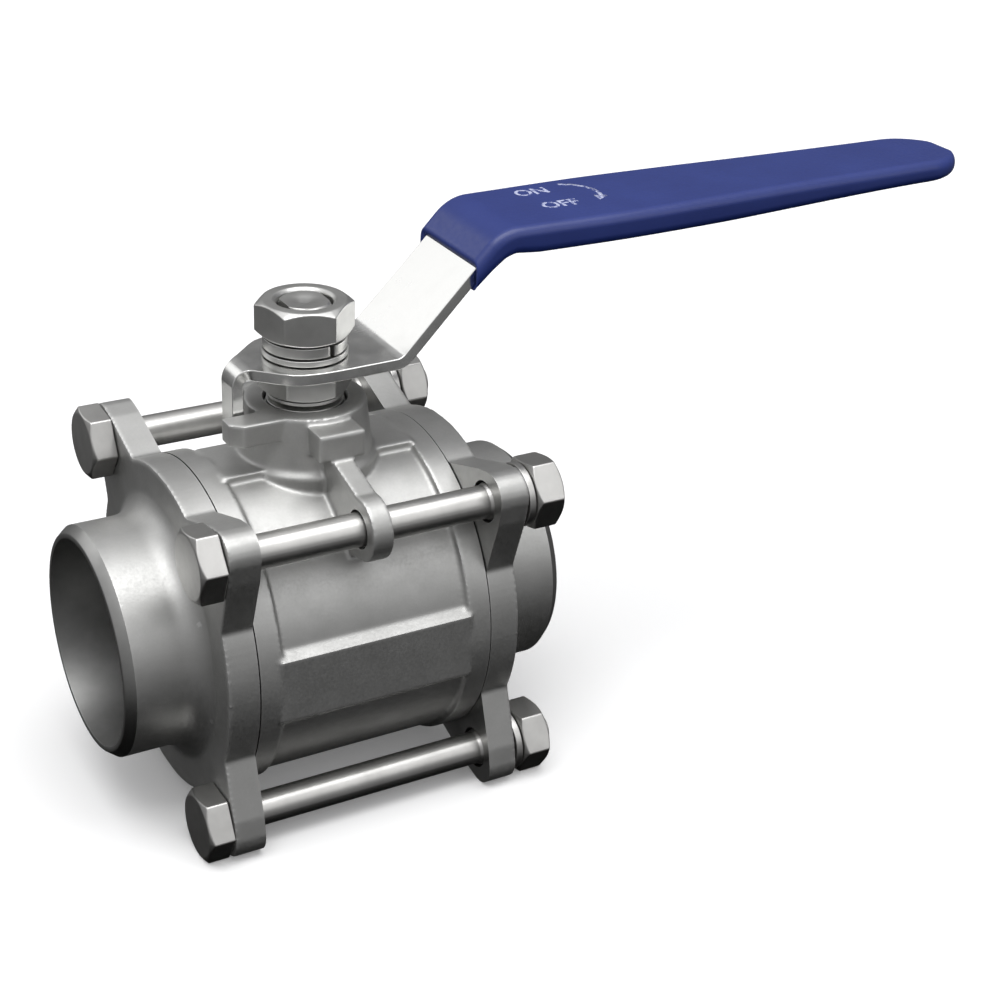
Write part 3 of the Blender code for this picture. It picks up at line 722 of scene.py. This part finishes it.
def make_bolt(tag):
    """A bolt in one skin: hexagon head, plain shank and a threaded end."""
    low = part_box(f"bolt_{tag}")[0].x / MM
    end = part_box(f"bolt_{tag}")[1].x / MM
    seat = low + HEAD_HEIGHT
    nut_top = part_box(f"bolt_nut_{tag}")[1].x / MM
    rim = hex_rim(BOLT_FLATS, HEX_TURNS[tag])
    rings = [even_ring(rim, 0.0, low)]
    rings += hex_rings(rim, BOLT_FLATS, low, seat, chamfer_high=False)[::-1]
    rings += [even_ring(rim, SHANK_RADIUS, seat), even_ring(rim, SHANK_RADIUS, BODY_END),
              even_ring(rim, THREAD_RADIUS, BODY_END + 1.0),
              even_ring(rim, THREAD_RADIUS, nut_top - 2.5)]
    rings = soft_rings(rings, 0.3)
    rings += thread_rings(rim, nut_top - 2.0, end, THREAD_RADIUS)
    rings.append(even_ring(rim, 0.0, end))
    cage = bmesh.new()
    skin(cage, polar_points(cage, rim, rings))
    place_on_bolt_line(cage, tag)
    settle(hard_piece(f"bolt_fine_{tag}", cage, BRIGHT_X), "housing", "bright_steel",
           f"bolt_{tag}")


def place_on_bolt_line(cage, tag):
    """Lay a piece made on its own Z along the pipe, on the line of the tagged bolt."""
    y = BOLT_SIDE if tag.startswith("back") else -BOLT_SIDE
    z = BOLT_SIDE if tag.endswith("upper") else -BOLT_SIDE
    cage.transform(Matrix.Translation((0.0, y, z)) @ ALONG_X)


def nut_cage(flats, first_corner, low, high, bore):
    rim = hex_rim(flats, first_corner)
    lead = 0.8
    rings = [even_ring(rim, bore, high - lead), even_ring(rim, bore + lead, high)]
    rings += hex_rings(rim, flats, low, high)
    rings += [even_ring(rim, bore + lead, low), even_ring(rim, bore, low + lead)]
    cage = bmesh.new()
    skin(cage, polar_points(cage, rim, soft_rings(rings, 0.28, closed=True)), closed=True)
    return cage


def washer_cage(inner, outer, low, high, split=None):
    """A flat ring, or a split spring washer whose ends stand a little apart."""
    cage = bmesh.new()
    corners = [(outer, high), (outer, low), (inner, low), (inner, high)]
    section = softened(corners, 0.22, closed=True)
    if split is None:
        lathe(cage, section, 96, closed=True)
        return cage
    gap = 0.6 / ((inner + outer) / 2)
    steps = 90
    lift = 0.1
    rows = []
    for index in range(steps + 1):
        t = index / steps
        angle = math.radians(split) + gap + (2 * math.pi - 2 * gap) * t
        rows.append([cage.verts.new((r * math.cos(angle), r * math.sin(angle),
                                     low + (h - low) * 0.9 + lift * (t * 2 - 1) + lift))
                     for r, h in section])
    for row, following in zip(rows, rows[1:]):
        for index in range(len(section)):
            onward = (index + 1) % len(section)
            cage.faces.new((row[index], row[onward], following[onward], following[index]))
    cage.faces.new(rows[0])
    cage.faces.new(rows[-1][::-1])
    return cage


def make_bolt_set(tag):
    make_bolt(tag)
    low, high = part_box(f"bolt_nut_{tag}")
    cage = nut_cage(BOLT_FLATS, HEX_TURNS[tag], low.x / MM, high.x / MM, THREAD_RADIUS + 0.1)
    place_on_bolt_line(cage, tag)
    settle(hard_piece(f"bolt_nut_fine_{tag}", cage, BRIGHT_X), "housing", "bright_steel",
           f"bolt_nut_{tag}")
    low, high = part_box(f"bolt_washer_{tag}")
    cage = washer_cage(THREAD_RADIUS + 0.3, 8.4, low.x / MM, high.x / MM, SPLIT_TURNS[tag])
    place_on_bolt_line(cage, tag)
    settle(hard_piece(f"bolt_washer_fine_{tag}", cage, BRIGHT_X), "housing", "bright_steel",
           f"bolt_washer_{tag}")


# ---------------------------------------------------------------- stem and its stack

def stack_nut(node, flats, first_corner):
    low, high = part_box(node)
    cage = nut_cage(flats, first_corner, low.z / MM, high.z / MM, STEM_RADIUS + 0.15)
    settle(hard_piece(f"{node}_fine", cage, BRIGHT_Z), "handle", "bright_steel", node)


def stack_washer(node, split=None):
    low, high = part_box(node)
    cage = washer_cage(WASHER_BORE, high.y / MM, low.z / MM, high.z / MM, split)
    settle(hard_piece(f"{node}_fine", cage, BRIGHT_Z), "handle", "bright_steel", node)


def disc_spring(node, rising):
    """A coned disc spring: its inner edge is high when rising, low when not."""
    low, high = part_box(node)
    bottom, top = low.z / MM, high.z / MM
    outer = high.y / MM
    drop = 0.5
    if rising:
        section = [(outer, top - drop), (outer, bottom),
                   (WASHER_BORE, bottom + drop), (WASHER_BORE, top)]
    else:
        section = [(outer, top), (outer, bottom + drop),
                   (WASHER_BORE, bottom), (WASHER_BORE, top - drop)]
    cage = bmesh.new()
    lathe(cage, softened(section, 0.15, closed=True), 96, closed=True)
    settle(hard_piece(f"{node}_fine", cage, BRIGHT_Z), "handle", "bright_steel", node)


def make_stem():
    """Tang, shoulder, packing length and thread, with two flats that drive the lever."""
    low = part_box("stem")[0].z / MM
    steps = 96
    rim = [(2 * math.pi * index / steps, STEM_RADIUS) for index in range(steps)]
    shoulder = 10.0
    foot = [(0.0, 38.0), (shoulder, 38.0), (shoulder, 41.2), (STEM_RADIUS, 41.2),
            (STEM_RADIUS, 70.0)]
    rings = [even_ring(rim, r, h) for r, h in softened(foot, 0.3)]
    rings += thread_rings(rim, 72.0, STEM_TOP, STEM_RADIUS)
    rings += [even_ring(rim, 2.2, STEM_TOP), even_ring(rim, 0.0, STEM_TOP - 1.1)]
    blank = bmesh.new()
    skin(blank, polar_points(blank, rim, rings))
    tang = bmesh.new()
    box_shape(tang, (-5.0, -8.8, low), (5.0, 8.8, 39.0))
    flats = bmesh.new()
    for sign in (-1, 1):
        inner, outer = sorted((sign * 5.5, sign * 9.0))
        box_shape(flats, (inner, -9.0, 65.7), (outer, 9.0, STEM_TOP + 2.0))
    stem = machined("stem_fine", finish_cage(blank, "stem_fine"),
                    [("UNION", tang), ("DIFFERENCE", flats)], BRIGHT_Z, BRIGHT_Z)
    settle(stem, "handle", "bright_steel", "stem")


# ---------------------------------------------------------------- ball and seals

def make_ball():
    edge = math.degrees(math.asin(PORT_RADIUS / BALL_RADIUS))
    profile = arc((0.0, 0.0), BALL_RADIUS, 90.0 - edge, edge - 90.0, 64)
    blank = bmesh.new()
    lathe(blank, softened(profile, 0.3, closed=True), 180, ALONG_X, closed=True)
    slot = bmesh.new()
    box_shape(slot, (-5.3, -12.5, 30.0), (5.3, 12.5, 40.0))
    ball = machined("ball_fine", finish_cage(blank, "ball_fine"), [("DIFFERENCE", slot)],
                    MIRROR, MIRROR)
    settle(ball, "ball", "polished_ball", "ball")


def make_seals():
    """Each seat is a ring hollowed to the ball; each gasket a flat ring between body and cap."""
    cup = BALL_RADIUS + JOINT_GAP
    lip = 21.8
    inner = 25.3
    outer = SEAT_POCKET - JOINT_GAP
    start = math.degrees(math.asin(lip / cup))
    stop = math.degrees(math.acos(inner / cup))
    seat = [(outer, outer), (outer, lip + 1.6), (outer - 1.6, lip)]
    seat += arc((0.0, 0.0), cup, start, stop, 12) + [(inner, outer)]
    rim = GASKET_POCKET - JOINT_GAP
    floor = GASKET_FLOOR + JOINT_GAP
    bore = SPIGOT_RADIUS + JOINT_GAP
    gasket = [(rim, BODY_END), (rim, floor), (bore, floor), (bore, BODY_END)]
    for side, way in (("inlet", AGAINST_X), ("outlet", ALONG_X)):
        for node, section in ((f"{side}_seat", seat), (f"{side}_gasket", gasket)):
            cage = bmesh.new()
            lathe(cage, softened(section, 0.2, closed=True), 128, way, closed=True)
            settle(hard_piece(f"{node}_fine", cage, SEAL), "housing", "white_seal", node)


# ---------------------------------------------------------------- lever and sleeve

def half_width(x):
    """Half width of the strip at X, eased between the stations of LEVER_WIDTHS."""
    stations = LEVER_WIDTHS
    if x <= stations[0][0]:
        return stations[0][1]
    for index in range(len(stations) - 1):
        x0, w0 = stations[index]
        x1, w1 = stations[index + 1]
        if x <= x1:
            before = stations[max(index - 1, 0)]
            after = stations[min(index + 2, len(stations) - 1)]
            slope0 = (w1 - before[1]) / (x1 - before[0]) * (x1 - x0)
            slope1 = (after[1] - w0) / (after[0] - x0) * (x1 - x0)
            t = (x - x0) / (x1 - x0)
            return ((2 * t ** 3 - 3 * t ** 2 + 1) * w0 + (t ** 3 - 2 * t ** 2 + t) * slope0
                    + (3 * t ** 2 - 2 * t ** 3) * w1 + (t ** 3 - t ** 2) * slope1)
    return stations[-1][1]


def lever_path(spacing):
    """Centre line of the bent strip in (X, Z) with its direction, from tail to tip."""
    corners = [Vector(point) for point in (
        (TAIL_X, TAIL_BOTTOM), (TAIL_X, LEVER_LEVEL), (INCLINE_FOOT, LEVER_LEVEL),
        (INCLINE_HEAD, GRIP_LEVEL), (TIP_X, GRIP_LEVEL))]
    stations = []
    start = corners[0]
    for index in range(1, len(corners) - 1):
        here = corners[index]
        way = (here - corners[index - 1]).normalized()
        onward = (corners[index + 1] - here).normalized()
        bend = LEVER_BENDS[index - 1]
        turn = way.angle_signed(onward)
        reach = bend * math.tan(abs(turn) / 2)
        first = here - way * reach
        stations += straight(start, first, way, spacing)
        side = Vector((way.y, -way.x)) * math.copysign(1.0, turn)
        centre = first + side * bend
        steps = 14
        for step in range(1, steps):
            spin = Matrix.Rotation(-turn * step / steps, 2)
            stations.append((centre + spin @ (first - centre), spin @ way))
        start = here + onward * reach
    return stations + straight(start, corners[-1], onward, spacing)


def straight(start, end, way, spacing):
    """Even steps of about the spacing from start to end."""
    count = max(1, round((end - start).length / spacing))
    return [(start + (end - start) * index / count, way) for index in range(count + 1)]


def cross_section(point, way, width, above, below, edge, steps=7):
    """A rectangle with rounded corners across the path, as high above it and below as given."""
    up = Vector((-way.y, way.x))
    edge = min(edge, (above + below) * 0.49, width * 0.98)
    corners = []
    for quarter, (sign_y, rise) in enumerate(((1, above), (-1, above), (-1, -below), (1, -below))):
        centre = (sign_y * (width - edge), rise - math.copysign(edge, rise))
        corners += arc(centre, edge, 90.0 * quarter, 90.0 * quarter + 90.0, steps)
    return [Vector((point.x + up.x * u, y, point.y + up.y * u)) for y, u in corners]


def loft(cage, sections):
    """Skin a row of sections and close both ends."""
    rings = [[cage.verts.new(spot) for spot in section] for section in sections]
    skin(cage, rings)
    cage.faces.new(rings[0])
    cage.faces.new(rings[-1][::-1])


def tip_shrink(x, tip):
    """Share of the full width that is left at X, along an elliptical tip."""
    start = tip - TIP_LENGTH
    if x <= start:
        return 1.0
    return math.sqrt(max(0.0, 1.0 - ((x - start) / TIP_LENGTH) ** 2))


def tip_run(tip):
    """X stations bunched towards the rounded tip."""
    angles = [5 * step for step in range(1, 17)] + [84, 87, 89]
    return [tip - TIP_LENGTH + TIP_LENGTH * math.sin(math.radians(angle)) for angle in angles]


def make_lever():
    level = Vector((1.0, 0.0))
    start = TIP_X - TIP_LENGTH
    stations = [entry for entry in lever_path(2.5) if entry[0].x < start - 1.0]
    stations += [(Vector((x, GRIP_LEVEL)), level) for x in [start] + tip_run(TIP_X)]
    half = STRIP / 2
    sections = [cross_section(point, way, half_width(point.x) * tip_shrink(point.x, TIP_X), half,
                              half, LEVER_EDGE, 3) for point, way in stations]
    blank = bmesh.new()
    loft(blank, sections)
    hole = bmesh.new()
    flat = 5.8
    split = math.degrees(math.acos(flat / WASHER_BORE))
    outline = arc((0.0, 0.0), WASHER_BORE, split, 180.0 - split, 24)
    outline += arc((0.0, 0.0), WASHER_BORE, 180.0 + split, 360.0 - split, 24)
    prism(hole, outline, 58.0, 74.0)
    lever = machined("lever_fine", finish_cage(blank, "lever_fine"), [("DIFFERENCE", hole)],
                     STRIP_STEEL, STRIP_STEEL)
    lever.modifiers.new("flats", "WEIGHTED_NORMAL").keep_sharp = True
    settle(lever, "handle", "strip_steel", "lever")


def sleeve_walls(x):
    """Wall of the sleeve above and below the strip at X."""
    for (x0, a0, b0), (x1, a1, b1) in zip(SLEEVE_WALLS, SLEEVE_WALLS[1:]):
        if x <= x1:
            share = max(x - x0, 0.0) / (x1 - x0)
            share = share * share * (3 - 2 * share)
            return a0 + (a1 - a0) * share, b0 + (b1 - b0) * share
    return SLEEVE_WALLS[-1][1:]


def upright(section, x, slope):
    """Slide a section's corners along the incline until they lie in the plane at X."""
    return [Vector((x, corner.y, corner.z + (x - corner.x) * slope)) for corner in section]


def make_sleeve():
    """The dipped sleeve: a pocket over the strip, cut upright at its mouth, rounded at its tip."""
    tip = TIP_X + SLEEVE_SIDE
    start = tip - TIP_LENGTH
    way = Vector((INCLINE_HEAD - INCLINE_FOOT, GRIP_LEVEL - LEVER_LEVEL)).normalized()
    slope = way.y / way.x
    mouth = Vector((SLEEVE_START, LEVER_LEVEL + (SLEEVE_START - INCLINE_FOOT) * slope))
    path = [entry for entry in lever_path(2.0) if SLEEVE_START + 2.6 < entry[0].x < start - 1.0]
    path += [(Vector((x, GRIP_LEVEL)), Vector((1.0, 0.0))) for x in [start] + tip_run(tip)]
    half = STRIP / 2
    outer = []
    for point, direction in path:
        blunt = max(0.0, point.x - (tip - SLEEVE_EDGE))
        inset = SLEEVE_EDGE - math.sqrt(max(SLEEVE_EDGE ** 2 - blunt ** 2, 0.0))
        width = (half_width(point.x) + SLEEVE_SIDE) * tip_shrink(point.x, tip)
        above, below = (half + wall - inset for wall in sleeve_walls(point.x))
        outer.append(cross_section(point, direction, max(width, 0.3), max(above, 0.2),
                                   max(below, 0.2), SLEEVE_EDGE))
    room = half + SLEEVE_PLAY
    pocket_tip = TIP_X + 0.4
    inner = []
    for point, direction in path:
        if point.x < pocket_tip:
            width = (half_width(point.x) + SLEEVE_PLAY) * tip_shrink(point.x, pocket_tip)
            inner.append(cross_section(point, direction, max(width, 0.3), room, room, 0.5))
    above, below = (half + wall for wall in sleeve_walls(SLEEVE_START))
    side = half_width(SLEEVE_START) + SLEEVE_SIDE
    mouth_rings = []
    for inset, x, edge in ((1.0, SLEEVE_START + 0.25, 1.2), (0.45, SLEEVE_START, 1.8),
                           (0.15, SLEEVE_START + 0.1, 2.2), (0.0, SLEEVE_START + 0.45, SLEEVE_EDGE)):
        section = cross_section(mouth, way, side - inset, above - inset, below - inset * 0.5, edge)
        mouth_rings.append(upright(section, x, slope))
    throat = cross_section(mouth, way, half_width(SLEEVE_START) + SLEEVE_PLAY, room, room, 0.5)
    cage = bmesh.new()
    loft(cage, inner[::-1] + [upright(throat, SLEEVE_START + 0.6, slope)] + mouth_rings + outer)
    settle(hard_piece("sleeve_fine", cage, VINYL), "handle", "blue_vinyl", "lever_sleeve")


def ink_piece(name, mesh, x, y):
    """A thin printed mark on the sleeve's top, riding with the lever."""
    level = GRIP_LEVEL + STRIP / 2 + sleeve_walls(x)[0]
    mesh.transform(Matrix.Translation((x * MM, y * MM, level * MM)))
    mark = new_object(name, mesh)
    mark.data.materials.clear()
    mark.data.materials.append(INK)
    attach(mark, "handle")


def make_print():
    """Generic marks: two words in Blender's own typeface and a curved arrow from ON to OFF."""
    for word, x, y in (("ON", 69.2, 8.2), ("OFF", 71.4, -3.0)):
        curve = bpy.data.curves.new(f"print_{word}", "FONT")
        curve.body = word
        curve.align_x = "CENTER"
        curve.align_y = "CENTER"
        curve.size = PRINT_SIZE * MM
        curve.extrude = PRINT_HALF_THICKNESS * MM
        curve.offset = PRINT_BOLDNESS * MM
        text = new_object(f"print_{word}_text", curve)
        mesh = evaluated(text, f"print_{word}")
        bpy.data.objects.remove(text, do_unlink=True)
        ink_piece(f"print_{word}", mesh, x, y)
    cage = bmesh.new()
    centre = (0.0, 0.0)
    bend = 8.7
    half = 0.55
    barb = 2.0
    begin, end = 77.0, -24.0
    outline = arc(centre, bend + half, end, begin, 20) + arc(centre, bend - half, begin, end, 20)
    prism(cage, outline, -PRINT_HALF_THICKNESS, PRINT_HALF_THICKNESS)
    here = math.radians(end)
    tip = math.radians(end - 24.0)
    head = [((bend - barb) * math.cos(here), (bend - barb) * math.sin(here)),
            ((bend + barb) * math.cos(here), (bend + barb) * math.sin(here)),
            (bend * math.cos(tip), bend * math.sin(tip))]
    prism(cage, head, -PRINT_HALF_THICKNESS, PRINT_HALF_THICKNESS)
    ink_piece("print_arrow", finish_cage(cage, "print_arrow"), 77.0, 2.5)


# ---------------------------------------------------------------- studio

def area_light(name, place, target, size, power):
    data = bpy.data.lights.new(name, "AREA")
    data.shape = "RECTANGLE"
    data.size = size[0]
    data.size_y = size[1]
    data.energy = power
    light = new_object(name, data)
    light.location = place
    aim = Vector(target) - Vector(place)
    light.rotation_euler = aim.to_track_quat("-Z", "Y").to_euler()


def make_floor():
    plane = bmesh.new()
    reach = 4000.0
    box_shape(plane, (-reach, -reach, FLOOR_Z - 5.0), (reach, reach, FLOOR_Z))
    floor = new_object("floor", finish_cage(plane, "floor"))
    floor.data.materials.append(floor_material())
    floor.visible_glossy = False
    floor.visible_diffuse = False


def make_lights():
    centre = (0.02, 0.0, 0.02)
    area_light("top_box", (-0.02, -0.24, 1.25), centre, (1.4, 0.8), 11.0)
    area_light("front_right_box", (0.70, -1.10, 0.66), centre, (1.1, 0.8), 2.2)
    area_light("back_left_box", (-0.60, 0.95, 0.60), centre, (0.8, 0.5), 1.25)


def make_world():
    """Surroundings for the metal, brighter overhead and towards -X and -Y; plain white when seen."""
    world = bpy.data.worlds.new("studio")
    bpy.context.scene.world = world
    world.use_nodes = True
    tree = world.node_tree
    back = tree.nodes["Background"]
    coordinates = tree.nodes.new("ShaderNodeTexCoord")
    split = tree.nodes.new("ShaderNodeSeparateXYZ")
    ramp = tree.nodes.new("ShaderNodeValToRGB")
    tree.links.new(coordinates.outputs["Generated"], split.inputs["Vector"])
    shift = tree.nodes.new("ShaderNodeMapRange")
    shift.inputs["From Min"].default_value = -1.0
    tree.links.new(split.outputs["Z"], shift.inputs["Value"])
    tree.links.new(shift.outputs["Result"], ramp.inputs["Fac"])
    stops = ((0.0, 0.0), (0.20, 0.0), (0.30, 0.13), (0.48, 0.21), (0.72, 0.36), (0.86, 0.85),
             (1.0, 1.15))
    marks = ramp.color_ramp.elements
    while len(marks) < len(stops):
        marks.new(0.5)
    for mark, (where, level) in zip(marks, stops):
        mark.position = where
        mark.color = (level, level, level * 1.01, 1.0)
    seen = tree.nodes.new("ShaderNodeLightPath")
    pick = tree.nodes.new("ShaderNodeMix")
    pick.data_type = "RGBA"
    tree.links.new(seen.outputs["Is Camera Ray"], pick.inputs["Factor"])
    facing = tree.nodes.new("ShaderNodeVectorMath")
    facing.operation = "DOT_PRODUCT"
    facing.inputs[1].default_value = (-0.7, -0.7, 0.0)
    tree.links.new(coordinates.outputs["Generated"], facing.inputs[0])
    lean = tree.nodes.new("ShaderNodeMapRange")
    lean.inputs["From Min"].default_value = -1.0
    lean.inputs["To Min"].default_value = 0.5
    lean.inputs["To Max"].default_value = 1.5
    tree.links.new(facing.outputs["Value"], lean.inputs["Value"])
    leaning = tree.nodes.new("ShaderNodeVectorMath")
    leaning.operation = "SCALE"
    tree.links.new(ramp.outputs["Color"], leaning.inputs[0])
    tree.links.new(lean.outputs["Result"], leaning.inputs["Scale"])
    tree.links.new(leaning.outputs["Vector"], pick.inputs["A"])
    pick.inputs["B"].default_value = (1.0, 1.0, 1.0, 1.0)
    tree.links.new(pick.outputs["Result"], back.inputs["Color"])
    bpy.context.scene.view_settings.view_transform = "Standard"


def make_camera():
    """The camera looks along the pipe from the inlet side, from above, with a slight roll."""
    azimuth = math.radians(30.81)
    elevation = math.radians(27.0)
    roll = math.radians(2.55)
    back = Vector((-math.sin(azimuth) * math.cos(elevation),
                   -math.cos(azimuth) * math.cos(elevation), math.sin(elevation)))
    right = Vector((math.cos(azimuth), -math.sin(azimuth), 0.0))
    up = back.cross(right)
    turned_right = right * math.cos(roll) + up * math.sin(roll)
    turned_up = up * math.cos(roll) - right * math.sin(roll)
    data = bpy.data.cameras.new("camera")
    data.sensor_width = 36.0
    data.lens = 71.53
    data.clip_start = 0.01
    camera = new_object("camera", data)
    turn = Matrix((turned_right, turned_up, back)).transposed().to_4x4()
    camera.matrix_world = Matrix.Translation((-0.1921, -0.4208, 0.2641)) @ turn
    bpy.context.scene.camera = camera


def finish_hidden(node, material):
    """Give a CAD node that stays, deep in the neck, its material."""
    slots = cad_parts[node].data.materials
    slots.clear()
    slots.append(material)


# ---------------------------------------------------------------- assembly

CAST = cast_material()
# The bore's grey is darker than the cast skin's, as painted shade inside the pipe.
BORE_PAINTED_SHADE = turned_material("bore_painted_shade", (0.28, 0.28, 0.275), 0.44, (1.0, 1.0, 1.0))
MACHINED = turned_material("machined_face", (0.43, 0.43, 0.42), 0.36, (1.0, 1.0, 1.0))
BRIGHT_X = turned_material("bright_steel_x", (0.58, 0.575, 0.56), 0.37, (1.0, 0.06, 0.06), 3.0)
BRIGHT_Z = turned_material("bright_steel_z", (0.62, 0.62, 0.605), 0.38, (0.06, 0.06, 1.0), 3.0)
STRIP_STEEL = strip_material()
MIRROR = mirror_material()
SEAL = seal_material()
VINYL = vinyl_material()
INK = print_material()

make_camera()
make_floor()
make_lights()
make_world()
make_cap("inlet_cap_casting", -1)
make_cap("outlet_cap_casting", 1)
make_body()
for bolt_tag in BOLT_TAGS:
    make_bolt_set(bolt_tag)
make_stem()
disc_spring("disc_spring_lower", True)
disc_spring("disc_spring_upper", False)
stack_nut("gland_nut", 21.0, 44.0)
stack_washer("lever_washer")
stack_washer("lever_spring_washer", 285.0)
stack_nut("lever_nut", 22.0, 42.4)
make_ball()
make_seals()
make_lever()
make_sleeve()
make_print()
for hidden in ("thrust_washer", "packing_ring_lower", "packing_ring_middle", "packing_ring_upper"):
    finish_hidden(hidden, SEAL)
finish_hidden("packing_gland", BRIGHT_Z)
